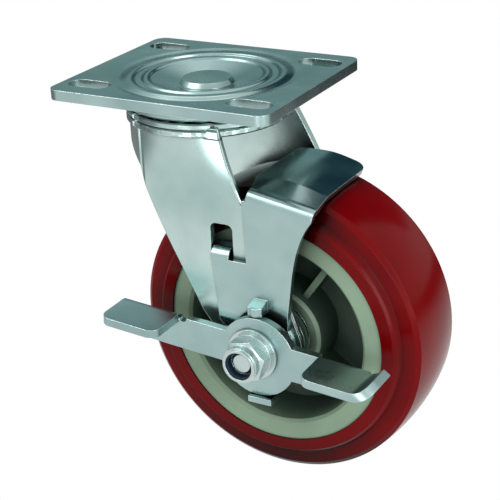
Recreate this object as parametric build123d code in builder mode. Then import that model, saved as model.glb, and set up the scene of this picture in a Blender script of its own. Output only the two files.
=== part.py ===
"""Swivel castor with a top plate, a polyurethane tyred wheel and a side cam brake.

Millimetres. The origin is on the swivel axis at the top face of the mounting plate.
+Z is up and +X is the side the wheel trails to. The brake is on the -Y side.
"""
from build123d import *
from math import cos, radians, sin, sqrt
import os

os.makedirs("parts", exist_ok=True)

# Main sizes
wheel_radius = 75.0
trail = 44.6
overall_height = 193.0
axle_z = wheel_radius - overall_height
running_gap = 0.05
sliding_gap = 0.2

# Mounting plate
plate_length = 115.0
plate_width = 100.0
plate_thickness = 5.0
plate_corner = 6.0
bolt_margin_x = 15.0
bolt_margin_y = 14.5
bolt_spacing_x = plate_length - 2 * bolt_margin_x
bolt_spacing_y = plate_width - 2 * bolt_margin_y
bolt_hole_r = 5.5
bolt_slot_length = 22.0
groove_outer_r = 45.0
groove_r = 42.0
groove_depth = 0.6
outer_crest_r = 37.0
inner_crest_r = 29.4
crest_width = 1.0
crest_flank = 2.0
crest_drop = 0.1
inner_crest_drop = 0.35
land_depth = 0.85
bowl_outer_r = 26.6
bowl_floor_r = 14.3
bowl_depth = 4.2
bowl_wall = 4.0

# Kingpin
kingpin_r = 8.0
kingpin_head_r = 13.2
kingpin_face_r = 11.6
kingpin_face_z = -1.8
kingpin_foot_r = 11.5
kingpin_foot_height = 3.5

# Swivel races
upper_ball_r = 3.0
upper_ball_circle_r = 31.0
upper_ball_count = 22
upper_ball_z = -9.85
race_groove_depth = 0.25
skirt_outer_r = 40.2
skirt_thickness = 3.0
skirt_bottom_z = -11.3
upper_race_inner_r = 27.6
lower_ball_r = 2.5
lower_ball_circle_r = 17.5
lower_ball_count = 16
lower_race_outer_r = 23.5
lower_race_thickness = 3.0

# Fork
fork_thickness = 3.7
fork_half_width = 34.2
crown_r = 39.3
crown_edge = 0.8
crown_groove_z = -15.8
crown_groove_depth = 0.9
crown_thickness = 3.8
crown_skirt_bottom_z = -19.4
web_r = 37.9
leg_boss_r = 19.5

# Wheel
hub_r = 23.0
hub_half_width = 22.0
core_half_width = 24.8
core_r = 56.2
rim_wall = 10.2
dish_r = core_r - rim_wall
web_half_thickness = 4.0
rib_count = 4
rib_thickness = 3.2
rib_phase = 55.0
rib_top = 17.0
tread_half_width = 19.5
tread_shoulder_r = 73.4
lip_height = 6.6
lip_r = core_r + lip_height
lip_half_width = 25.6

# Wheel bearings and axle
bearing_outer_r = 17.5
bearing_inner_r = 7.5
bearing_width = 11.0
bearing_ring = 3.0
bearing_ball_r = 2.9
bearing_ball_count = 8
bolt_r = 6.0
bolt_end_y = -57.0
bolt_head_height = 7.5
bolt_end_chamfer = 1.6
hex_across_flats = 19.0
head_washer_thickness = 1.7
head_washer_r = 12.0
flat_washer_thickness = 1.6
flat_washer_r = 12.5
lock_washer_thickness = 1.4
lock_washer_r = 10.6

# Brake
shoe_thickness = 3.0
shoe_gap = 0.2
shoe_arc_start = 69.2
shoe_arc_end = 96.2
shoe_reach = 23.5
lever_thickness = 4.0
lever_tilt = 4.5
lever_outer_y = -45.4
cam_r = 19.8
cam_offset_along = 1.9
cam_offset_down = 1.7
cam_play = 0.25
cam_stroke = 1.6
bush_r = 8.5
bush_collar_r = 12.5

# Worked-out places
plate_bottom_z = -plate_thickness
race_surface_z = upper_ball_z + upper_ball_r - race_groove_depth
crown_top_z = upper_ball_z - upper_ball_r + race_groove_depth
crown_bottom_z = crown_top_z - crown_thickness
lower_ball_z = crown_bottom_z + race_groove_depth - lower_ball_r
lower_race_z = lower_ball_z - lower_ball_r + race_groove_depth
kingpin_foot_z = lower_race_z - lower_race_thickness
leg_inner_y = fork_half_width - fork_thickness
shoe_inner_y = -fork_half_width - sliding_gap
shoe_outer_y = shoe_inner_y - shoe_thickness
lever_inner_y = lever_outer_y + lever_thickness
head_y = fork_half_width + head_washer_thickness
tilt = radians(lever_tilt)
cam_x = trail + cam_offset_along * cos(tilt) - cam_offset_down * sin(tilt)
cam_z = axle_z - cam_offset_along * sin(tilt) - cam_offset_down * cos(tilt)
bush_end_y = lever_outer_y - sliding_gap


def side_plane(y):
    """A plane at y whose sketch x is +X, sketch y is +Z and normal is -Y."""
    return Plane(origin=(0, y, 0), x_dir=(1, 0, 0), z_dir=(0, -1, 0))


def axle_plane(y):
    """A side plane centred on the wheel axle."""
    return Plane(origin=(trail, y, axle_z), x_dir=(1, 0, 0), z_dir=(0, -1, 0))


# A half plane through the axle: sketch x is +Y and sketch y is the radius.
axle_section = Plane(origin=(trail, 0, axle_z), x_dir=(0, 1, 0), z_dir=(1, 0, 0))
axle_line = Axis((trail, 0, axle_z), (0, 1, 0))
# A half plane through the swivel axis: sketch x is the radius and sketch y is +Z.
swivel_section = Plane.XZ


def save(solid, name):
    solid.label = name
    export_step(solid, f"parts/{name}.step")


# Top plate: slotted corners, a pressed groove with two crests and a bowl for the kingpin
with BuildPart() as top_plate:
    with BuildSketch(Plane.XY):
        RectangleRounded(plate_length, plate_width, plate_corner)
        Circle(groove_outer_r, mode=Mode.SUBTRACT)
    extrude(amount=-plate_thickness)
    with BuildSketch(swivel_section):
        with BuildLine():
            Polyline(
                (kingpin_r, -bowl_depth - bowl_wall),
                (kingpin_r, -bowl_depth),
                (bowl_floor_r, -bowl_depth),
                (bowl_outer_r, -land_depth - 0.2),
                (inner_crest_r - crest_width, -inner_crest_drop),
                (inner_crest_r, -inner_crest_drop),
                (inner_crest_r + crest_flank, -land_depth),
                (outer_crest_r - crest_width - crest_flank, -land_depth),
                (outer_crest_r - crest_width, -crest_drop),
                (outer_crest_r, -crest_drop),
                (groove_r, -groove_depth),
                (groove_outer_r, 0),
                (groove_outer_r, plate_bottom_z),
                (bowl_outer_r, plate_bottom_z),
                (bowl_floor_r, -bowl_depth - bowl_wall),
                close=True,
            )
        make_face()
    revolve(axis=Axis.Z)
    with BuildSketch(Plane.XY):
        with GridLocations(bolt_spacing_x, bolt_spacing_y, 2, 2):
            SlotOverall(bolt_slot_length, 2 * bolt_hole_r)
    extrude(amount=-plate_thickness, mode=Mode.SUBTRACT)
save(top_plate.part, "top_plate")

# Kingpin: a riveted head in the bowl and a formed foot under the lower race
with BuildPart() as kingpin:
    with BuildSketch(swivel_section):
        with BuildLine():
            Polyline(
                (0, kingpin_face_z),
                (kingpin_face_r, kingpin_face_z),
                (kingpin_head_r, -bowl_depth),
                (kingpin_r, -bowl_depth),
                (kingpin_r, kingpin_foot_z),
                (kingpin_foot_r, kingpin_foot_z),
                (kingpin_foot_r - 2, kingpin_foot_z - kingpin_foot_height),
                (0, kingpin_foot_z - kingpin_foot_height),
                close=True,
            )
        make_face()
    revolve(axis=Axis.Z)
save(kingpin.part, "kingpin")

# Upper race: a pressed ring under the plate with a skirt that covers the balls
with BuildPart() as upper_race:
    with BuildSketch(swivel_section):
        with BuildLine():
            Polyline(
                (upper_race_inner_r, plate_bottom_z),
                (skirt_outer_r, plate_bottom_z),
                (skirt_outer_r, skirt_bottom_z + 1),
                (skirt_outer_r - 1, skirt_bottom_z),
                (skirt_outer_r - skirt_thickness, skirt_bottom_z),
                (skirt_outer_r - skirt_thickness, race_surface_z),
                (upper_race_inner_r, race_surface_z),
                close=True,
            )
        make_face()
        with Locations((upper_ball_circle_r, upper_ball_z)):
            Circle(upper_ball_r + running_gap, mode=Mode.SUBTRACT)
    revolve(axis=Axis.Z)
save(upper_race.part, "upper_race")


def ball_ring(radius, circle_r, count, z):
    """A ring of bearing balls round the swivel axis."""
    with BuildPart() as ring:
        with Locations((0, 0, z)):
            with PolarLocations(circle_r, count):
                Sphere(radius)
    return ring.part


save(ball_ring(upper_ball_r, upper_ball_circle_r, upper_ball_count, upper_ball_z), "upper_balls")
save(ball_ring(lower_ball_r, lower_ball_circle_r, lower_ball_count, lower_ball_z), "lower_balls")

# Lower race: a dished ring held on the kingpin by its foot
with BuildPart() as lower_race:
    with BuildSketch(swivel_section):
        with BuildLine():
            Polyline(
                (kingpin_r, lower_race_z),
                (lower_race_outer_r - 2, lower_race_z),
                (lower_race_outer_r - 2, lower_race_z + 2),
                (lower_race_outer_r, lower_race_z + 2),
                (lower_race_outer_r, kingpin_foot_z + 1),
                (lower_race_outer_r - 1, kingpin_foot_z),
                (kingpin_r, kingpin_foot_z),
                close=True,
            )
        make_face()
        with Locations((lower_ball_circle_r, lower_ball_z)):
            Circle(lower_ball_r + running_gap, mode=Mode.SUBTRACT)
    revolve(axis=Axis.Z)
save(lower_race.part, "lower_race")

# Fork: a crown cup with two legs and a curved front web, pressed and welded as one piece
front_edge = [(-19.5, -38.0), (-9.8, -63.5), (0.3, -84.2), (11.9, -107.2)]
near_rear_edge = [(23.5, -12.9), (29.7, -36.9), (42.0, -65.0), (57.0, -95.0)]
far_rear_edge = [(25.0, -12.9), (38.0, -35.7), (48.0, -57.0), (58.5, -95.0)]
leg_top_z = -14.5
web_front_z = -23.0
window_left = 18.0
window_right = 29.8
window_top_z = -60.4
window_bottom_z = -80.5
window_corner = 3.0


def leg_profile(rear_edge):
    """The side outline of one leg, from the crown down to the round end at the axle."""
    with BuildSketch(side_plane(0)) as profile:
        with BuildLine():
            Polyline(
                rear_edge[0],
                (-crown_r - 2, rear_edge[0][1]),
                (-crown_r - 2, web_front_z),
                (-crown_r * 0.86, web_front_z - 3),
                front_edge[0],
            )
            Spline(*front_edge)
            Polyline(
                front_edge[-1],
                (trail - 0.64 * leg_boss_r, axle_z - 0.77 * leg_boss_r),
                (trail, axle_z),
                (trail + leg_boss_r * 0.97, axle_z + leg_boss_r * 0.24),
                rear_edge[-1],
            )
            Spline(*reversed(rear_edge))
        make_face()
        with Locations((trail, axle_z)):
            Circle(leg_boss_r)
    return profile.sketch


def leg_side(y_inner, y_outer, rear_edge):
    """One leg: the bent plate seen from above, trimmed by the side outline."""
    sign = 1 if y_outer > 0 else -1
    depth = -axle_z + leg_boss_r + leg_top_z
    outer_start = -sqrt(web_r**2 - fork_half_width**2)
    inner_r = web_r - fork_thickness
    inner_start = -sqrt(inner_r**2 - leg_inner_y**2)
    with BuildPart() as leg:
        with BuildSketch(Plane.XY.offset(leg_top_z)):
            with BuildLine():
                RadiusArc((-web_r, 0), (outer_start, y_outer), sign * web_r)
                Line((outer_start, y_outer), (trail + 30, y_outer))
                Line((trail + 30, y_outer), (trail + 30, y_inner))
                Line((trail + 30, y_inner), (inner_start, y_inner))
                RadiusArc((inner_start, y_inner), (-inner_r, 0), -sign * inner_r)
                Line((-inner_r, 0), (-web_r, 0))
            make_face()
        extrude(amount=-depth)
        extrude(leg_profile(rear_edge), amount=fork_half_width + 5, both=True, mode=Mode.INTERSECT)
    return leg.part


with BuildPart() as fork:
    with BuildSketch(swivel_section):
        with BuildLine():
            Polyline(
                (kingpin_r + 1.5, crown_top_z),
                (crown_r - crown_edge, crown_top_z),
                (crown_r, crown_top_z - crown_edge),
                (crown_r, crown_groove_z + crown_groove_depth),
                (crown_r - crown_groove_depth, crown_groove_z),
                (crown_r, crown_groove_z - crown_groove_depth),
                (crown_r, crown_skirt_bottom_z + crown_edge),
                (crown_r - crown_edge, crown_skirt_bottom_z),
                (crown_r - fork_thickness, crown_skirt_bottom_z),
                (crown_r - fork_thickness, crown_bottom_z),
                (kingpin_r + 1.5, crown_bottom_z),
                close=True,
            )
        make_face()
        with Locations((upper_ball_circle_r, upper_ball_z), (lower_ball_circle_r, lower_ball_z)):
            Circle(upper_ball_r, mode=Mode.SUBTRACT)
    revolve(axis=Axis.Z)
    add(leg_side(-leg_inner_y, -fork_half_width, near_rear_edge))
    add(leg_side(leg_inner_y, fork_half_width, far_rear_edge))
    with BuildSketch(side_plane(-leg_inner_y + 1)):
        with Locations(((window_left + window_right) / 2, (window_top_z + window_bottom_z) / 2)):
            RectangleRounded(window_right - window_left, window_top_z - window_bottom_z, window_corner)
    extrude(amount=fork_thickness + 2, mode=Mode.SUBTRACT)
    with BuildSketch(axle_plane(fork_half_width + 1)):
        Circle(bolt_r + running_gap)
    extrude(amount=2 * fork_half_width + 2, mode=Mode.SUBTRACT)
save(fork.part, "fork")

# Wheel core: a moulded hub, dish, ribs and rim
with BuildPart() as wheel_core:
    with BuildSketch(axle_section):
        with BuildLine():
            half = [
                (hub_half_width, bearing_outer_r),
                (hub_half_width, hub_r - 1.5),
                (hub_half_width - 1.5, hub_r),
                (web_half_thickness, hub_r + 1.5),
                (web_half_thickness, dish_r - 3),
                (core_half_width - 1.5, dish_r),
                (core_half_width, dish_r + 1.5),
                (core_half_width, core_r),
            ]
            bore_shoulder = [
                (hub_half_width - bearing_width, bearing_outer_r - 2.5),
                (hub_half_width - bearing_width, bearing_outer_r),
            ]
            right_side = bore_shoulder + half
            Polyline(*right_side, *[(-y, r) for y, r in reversed(right_side)], close=True)
        make_face()
    revolve(axis=axle_line)
    rib_length = dish_r - hub_r
    for side in (1, -1):
        with BuildSketch(axle_plane(side * web_half_thickness)):
            with PolarLocations(hub_r + rib_length / 2, rib_count, start_angle=rib_phase):
                Rectangle(rib_length, rib_thickness)
        extrude(amount=-side * (rib_top - web_half_thickness))
save(wheel_core.part, "wheel_core")

# Tread: a crowned tyre moulded round the core with a flat lip at each side
with BuildPart() as tread:
    with BuildSketch(axle_section):
        with BuildLine():
            ThreePointArc(
                (-tread_half_width, tread_shoulder_r), (0, wheel_radius), (tread_half_width, tread_shoulder_r)
            )
            for side in (1, -1):
                Polyline(
                    (side * tread_half_width, tread_shoulder_r),
                    (side * (tread_half_width + 1.8), tread_shoulder_r - 2.2),
                    (side * (tread_half_width + 2.2), lip_r + 2),
                    (side * (lip_half_width - 1.2), lip_r + 0.4),
                    (side * lip_half_width, lip_r - 0.8),
                    (side * lip_half_width, core_r),
                )
            Line((lip_half_width, core_r), (-lip_half_width, core_r))
        make_face()
    revolve(axis=axle_line)
save(tread.part, "tread")


def ring_about_axle(y_start, y_end, inner_r, outer_r):
    """A plain ring round the axle between two places along it."""
    with BuildPart() as ring:
        with BuildSketch(axle_plane(y_start)):
            Circle(outer_r)
            Circle(inner_r, mode=Mode.SUBTRACT)
        extrude(amount=y_start - y_end)
    return ring.part


# Wheel bearings: one sealed ball bearing at each end of the hub
bearing_pitch_r = (bearing_outer_r + bearing_inner_r) / 2
seal_thickness = 0.8
for side, place in ((-1, "near"), (1, "far")):
    outer_y = side * hub_half_width
    inner_y = side * (hub_half_width - bearing_width)
    middle_y = (outer_y + inner_y) / 2
    for name, ring_inner, ring_outer in (
        ("bearing_outer", bearing_outer_r - bearing_ring, bearing_outer_r),
        ("bearing_inner", bearing_inner_r, bearing_inner_r + bearing_ring),
    ):
        with BuildPart() as bearing_race:
            add(ring_about_axle(outer_y, inner_y, ring_inner, ring_outer))
            with BuildSketch(axle_section):
                with Locations((middle_y, bearing_pitch_r)):
                    Circle(bearing_ball_r + (running_gap if name == "bearing_inner" else 0))
            revolve(axis=axle_line, mode=Mode.SUBTRACT)
        save(bearing_race.part, f"{name}_{place}")
    with BuildPart() as bearing_balls:
        with Locations(axle_plane(middle_y)):
            with PolarLocations(bearing_pitch_r, bearing_ball_count):
                Sphere(bearing_ball_r)
    save(bearing_balls.part, f"bearing_balls_{place}")
    seal = ring_about_axle(
        outer_y, outer_y - side * seal_thickness,
        bearing_inner_r + bearing_ring + sliding_gap, bearing_outer_r - bearing_ring,
    )
    save(seal, f"bearing_seal_{place}")

# Axle: a bolt through a clamped sleeve, with spacers and thread guards beside the hub
with BuildPart() as axle_bolt:
    with BuildSketch(axle_plane(head_y + bolt_head_height)):
        RegularPolygon(hex_across_flats / 2, 6, major_radius=False)
    extrude(amount=bolt_head_height)
    with BuildSketch(axle_plane(head_y)):
        Circle(bolt_r)
    extrude(amount=head_y - bolt_end_y)
    chamfer(axle_bolt.edges().sort_by(Axis.Y)[0], bolt_end_chamfer)
save(axle_bolt.part, "axle_bolt")

sleeve_r = bearing_inner_r
save(ring_about_axle(leg_inner_y, -leg_inner_y, bolt_r + running_gap, sleeve_r), "axle_sleeve")

guard_thickness = 1.5
guard_outer_r = 19.0
guard_depth = 5.0
for side, place in ((-1, "near"), (1, "far")):
    with BuildPart() as thread_guard:
        with BuildSketch(axle_section):
            with BuildLine():
                leg_y = side * leg_inner_y
                disc_y = side * (leg_inner_y - guard_thickness)
                rim_y = side * (leg_inner_y - guard_depth)
                Polyline(
                    (leg_y, sleeve_r),
                    (leg_y, guard_outer_r - 1),
                    (leg_y - side, guard_outer_r),
                    (rim_y, guard_outer_r),
                    (rim_y, guard_outer_r - guard_thickness),
                    (disc_y, guard_outer_r - guard_thickness),
                    (disc_y, sleeve_r),
                    close=True,
                )
            make_face()
        revolve(axis=axle_line)
    save(thread_guard.part, f"thread_guard_{place}")
    spacer = ring_about_axle(disc_y, side * hub_half_width, sleeve_r, bearing_inner_r + bearing_ring - 0.5)
    save(spacer, f"hub_spacer_{place}")

save(ring_about_axle(head_y, fork_half_width, bolt_r + running_gap, head_washer_r), "head_washer")

# Pivot bush: carries the brake plate's slot and the lever, clamped between leg and washer
with BuildPart() as pivot_bush:
    add(ring_about_axle(-fork_half_width, bush_end_y, bolt_r + running_gap, bush_r))
    collar_start = shoe_outer_y - sliding_gap
    collar_end = lever_inner_y + sliding_gap
    add(ring_about_axle(collar_start, collar_end, bolt_r + running_gap, bush_collar_r))
save(pivot_bush.part, "pivot_bush")

flat_washer_end = bush_end_y - flat_washer_thickness
lock_washer_end = flat_washer_end - lock_washer_thickness
save(ring_about_axle(bush_end_y, flat_washer_end, bolt_r + running_gap, flat_washer_r), "flat_washer")
save(ring_about_axle(flat_washer_end, lock_washer_end, bolt_r + running_gap, lock_washer_r), "lock_washer")

# Nut: a hexagon with a rolled collar that holds a nylon locking ring
nut_hex_height = 7.0
nut_end_y = -60.2
collar_lip = 0.9
insert_r = 7.6
collar_outer_r = 8.8
nut_corner_r = 11.2
nut_face_r = nut_corner_r - 1.0
with BuildPart() as axle_nut:
    with BuildSketch(axle_plane(lock_washer_end)):
        RegularPolygon(hex_across_flats / 2, 6, major_radius=False, rotation=12)
    extrude(amount=nut_hex_height)
    with BuildSketch(axle_section):
        with BuildLine():
            hex_end = lock_washer_end - nut_hex_height
            Polyline(
                (lock_washer_end, 0),
                (lock_washer_end, nut_face_r),
                (lock_washer_end - 0.6, nut_corner_r),
                (hex_end + 1.2, nut_corner_r),
                (hex_end, collar_outer_r),
                (nut_end_y + 1.2, collar_outer_r),
                (nut_end_y, collar_outer_r - 1.2),
                (nut_end_y, 0),
                close=True,
            )
        make_face()
    revolve(axis=axle_line, mode=Mode.INTERSECT)
    add(ring_about_axle(hex_end, nut_end_y + 1.2, bolt_r + running_gap, collar_outer_r))
    add(ring_about_axle(nut_end_y + 1.2, nut_end_y, bolt_r + running_gap, collar_outer_r - 0.6))
    with BuildSketch(axle_section):
        with BuildLine():
            Polyline(
                (lock_washer_end + 1, 0),
                (lock_washer_end + 1, bolt_r + running_gap),
                (hex_end, bolt_r + running_gap),
                (hex_end, insert_r),
                (nut_end_y + collar_lip, insert_r),
                (nut_end_y + collar_lip, insert_r - 0.7),
                (nut_end_y - 1, insert_r - 0.7),
                (nut_end_y - 1, 0),
                close=True,
            )
        make_face()
    revolve(axis=axle_line, mode=Mode.SUBTRACT)
save(axle_nut.part, "axle_nut")
save(ring_about_axle(hex_end, nut_end_y + collar_lip, bolt_r + running_gap, insert_r), "nut_insert")

# Brake plate: a sheet with a curved shoe, a guide tab, a pressed cam stop and a lower cam tab
shoe_bend = 5.2
shoe_bend_slope = 9.8
shoe_bend_left = (39.0, -45.7)
shoe_bend_right_x = 72.0
shoe_flat = 0.6
shoe_curve_y = -20.5
shoe_right_corner = 6.5
shoe_left_corner = 3.0
tab_bend = 5.0
tab_top_z = -72.0
tab_left = 19.2
tab_right = 28.6
tab_end_y = -27.6
shoulder_z = -76.8
stop_left = 41.4
stop_right = 48.6
stop_reach_y = -44.6
stop_height = 7.2
stop_bottom_z = cam_z + cam_r + cam_play
tongue_left = 42.2
tongue_right = 54.2
tongue_end_y = -48.0
tongue_bend = 4.0
tongue_top_z = cam_z - cam_r - cam_play
tongue_bottom_z = tongue_top_z - shoe_thickness
eye_r = 17.5


def arc_point(radius, angle):
    """A place in the side view at a radius and angle from the axle."""
    return (trail + radius * cos(radians(angle)), axle_z + radius * sin(radians(angle)))


def bent_edge(plane, bend, thickness, reach):
    """A section through a sheet's bent edge.

    The sketch origin is where the bend starts on the outside face, sketch y runs up the
    flat sheet and sketch x runs out along the part that is bent over.
    """
    inside = bend - thickness
    with BuildSketch(plane) as section:
        with BuildLine():
            CenterArc((bend, 0), bend, 180, -90)
            Polyline((bend, bend), (reach, bend), (reach, inside), (bend, inside))
            CenterArc((bend, 0), inside, 90, 90)
            Line((thickness, 0), (0, 0))
        make_face()
    return section.sketch


def soft_crease(start, middle, end):
    """A curve through three places that is nearly straight except at the middle."""
    Spline(start, middle, end, tangents=(Vector(*middle) - Vector(*start), Vector(*end) - Vector(*middle)))


def shoe_strip(y, corners, crease_top=None, crease_bottom=None):
    """The shoe's section at y: four corners, creased over the tread where creases are given."""
    with BuildSketch(side_plane(y)) as strip:
        with BuildLine():
            if crease_top:
                soft_crease(corners[0], crease_top, corners[1])
                soft_crease(corners[2], crease_bottom, corners[3])
            else:
                Line(corners[0], corners[1])
                Line(corners[2], corners[3])
            Line(corners[1], corners[2])
            Line(corners[3], corners[0])
        make_face()
    return strip.sketch


with BuildPart() as brake_shoe:
    slope = radians(shoe_bend_slope)
    bend_left_x, bend_left_z = shoe_bend_left
    bend_run = shoe_bend_right_x - bend_left_x
    bend_right = (shoe_bend_right_x, bend_left_z - bend_run * sin(slope) / cos(slope))
    right_edge = [bend_right, (67.6, -58.5), (61.7, -79.5), (59.1, -99.0)]
    with BuildSketch(side_plane(shoe_inner_y)):
        with BuildLine():
            Polyline(
                bend_right,
                shoe_bend_left,
                (bend_left_x - 2.2, bend_left_z - 0.4),
                (38.2, shoulder_z),
                (tab_right, shoulder_z),
                (tab_right, tab_top_z - tab_bend),
                (tab_left, tab_top_z - tab_bend),
                (21.8, -100.0),
                (22.5, -108.0),
                (25.5, -111.3),
                (30.5, -111.3),
                (tongue_left, axle_z - 12),
                (tongue_left, tongue_bottom_z + tongue_bend),
                (tongue_right, tongue_bottom_z + tongue_bend),
                (tongue_right, axle_z - 12),
                (58.8, -109.4),
                right_edge[-1],
            )
            Spline(*reversed(right_edge))
        make_face()
        with Locations((trail, axle_z)):
            Circle(eye_r)
        with Locations((trail, axle_z - cam_stroke / 2)):
            SlotOverall(
                2 * bush_r + cam_stroke + 3 * sliding_gap,
                2 * bush_r + sliding_gap,
                rotation=90,
                mode=Mode.SUBTRACT,
            )
    extrude(amount=shoe_thickness)
    # The bend along the sloped top edge of the sheet
    bend_plane = Plane(
        origin=(bend_left_x, shoe_outer_y, bend_left_z),
        x_dir=(0, 1, 0),
        z_dir=(cos(slope), 0, -sin(slope)),
    )
    bend_section = bent_edge(bend_plane, shoe_bend, shoe_thickness, shoe_bend + shoe_flat)
    extrude(bend_section, amount=bend_run / cos(slope), dir=bend_plane.z_dir)
    # The shoe: straight where it leaves the bend, creased in the middle where it lies over the tread
    rise_x, rise_z = shoe_bend * sin(slope), shoe_bend * cos(slope)
    drop_x, drop_z = shoe_thickness * sin(slope), shoe_thickness * cos(slope)
    straight_top = [(x + rise_x, z + rise_z) for x, z in (shoe_bend_left, bend_right)]
    straight_end = [(x - drop_x, z - drop_z) for x, z in reversed(straight_top)]
    # Each half of the shoe touches the tread at its own middle
    shoe_inner_r = (wheel_radius + shoe_gap) / cos(radians(shoe_arc_end - shoe_arc_start) / 4)
    shoe_outer_r = shoe_inner_r + shoe_thickness
    creased = [
        arc_point(shoe_outer_r, shoe_arc_end),
        arc_point(shoe_outer_r, shoe_arc_start),
        arc_point(shoe_inner_r, shoe_arc_start),
        arc_point(shoe_inner_r, shoe_arc_end),
    ]
    crease_angle = (shoe_arc_start + shoe_arc_end) / 2
    creased_strip = shoe_strip(
        shoe_curve_y, creased, arc_point(shoe_outer_r, crease_angle), arc_point(shoe_inner_r, crease_angle)
    )
    loft([shoe_strip(shoe_outer_y + shoe_bend + shoe_flat, straight_top + straight_end), creased_strip])
    extrude(creased_strip, amount=shoe_reach - shoe_curve_y, dir=(0, 1, 0))
    far_corners = brake_shoe.edges().filter_by(
        lambda edge: edge.center().Y > shoe_reach - 0.1 and abs(edge.length - shoe_thickness) < 0.01
    )
    fillet(far_corners.sort_by(Axis.X)[-1], shoe_right_corner)
    fillet(far_corners.sort_by(Axis.X)[0], shoe_left_corner)
    # The guide tab, bent in through the window of the leg
    tab_plane = Plane(
        origin=(tab_right, shoe_outer_y, tab_top_z - tab_bend), x_dir=(0, 1, 0), z_dir=(1, 0, 0)
    )
    tab_edge = bent_edge(tab_plane, tab_bend, shoe_thickness, tab_end_y - shoe_outer_y)
    extrude(tab_edge, amount=tab_right - tab_left, dir=(-1, 0, 0))
    # The lower tab, bent out under the cam
    tongue_plane = Plane(
        origin=(tongue_left, shoe_inner_y, tongue_bottom_z + tongue_bend),
        x_dir=(0, -1, 0),
        z_dir=(1, 0, 0),
    )
    tongue_edge = bent_edge(tongue_plane, tongue_bend, shoe_thickness, shoe_inner_y - tongue_end_y)
    extrude(tongue_edge, amount=tongue_right - tongue_left, dir=(1, 0, 0))
    # The stop pressed out over the cam, round in front and sloped at the top
    stop_width = stop_right - stop_left
    stop_depth = shoe_outer_y - stop_reach_y
    with BuildSketch(Plane.XY.offset(stop_bottom_z)):
        with Locations((stop_left + stop_width / 2, shoe_outer_y - stop_depth / 2 + 0.5)):
            Rectangle(stop_width, stop_depth - 1)
        with Locations((stop_left + stop_width / 2, stop_reach_y + stop_width / 2)):
            Circle(stop_width / 2)
    extrude(amount=stop_height)
    with BuildSketch(Plane(origin=(stop_left - 1, 0, 0), x_dir=(0, 1, 0), z_dir=(1, 0, 0))):
        with BuildLine():
            Polyline(
                (stop_reach_y - 1, stop_bottom_z + stop_height / 2),
                (stop_reach_y + 1.5, stop_bottom_z + stop_height / 2 + 1),
                (shoe_outer_y, stop_bottom_z + stop_height - 1),
                (shoe_outer_y, stop_bottom_z + stop_height + 1),
                (stop_reach_y - 1, stop_bottom_z + stop_height + 1),
                close=True,
            )
        make_face()
    extrude(amount=stop_width + 2, mode=Mode.SUBTRACT)
save(brake_shoe.part, "brake_shoe")

# Cam lever: a round cam with two arms, each with a foot pad folded outwards
arm_top = 7.6
arm_bottom = -8.8
pad_bend = 5.0
pad_edge_y = -66.8
left_pad_end = -72.0
left_pad_start = -41.0
left_pad_top = 9.0
right_pad_start = 33.3
right_pad_flat_end = 58.0
right_pad_top = 8.0
right_pad_curl_r = 9.0
right_pad_curl_angle = 58.0
pad_corner = 5.5
curl_corner = 9.0
relief_r = 2.2


def lever_plane(y):
    """A side plane at the axle, turned so that sketch x runs along the lever's arms."""
    return Plane(origin=(trail, y, axle_z), x_dir=(cos(tilt), 0, -sin(tilt)), z_dir=(0, -1, 0))


def pad_plane(along, up):
    """A plane across an arm for the bent edge of its pad, facing the arm's left end."""
    x = trail + along * cos(tilt) + up * sin(tilt)
    z = axle_z - along * sin(tilt) + up * cos(tilt)
    return Plane(origin=(x, lever_inner_y, z), x_dir=(0, -1, 0), z_dir=(-cos(tilt), 0, sin(tilt)))


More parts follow.
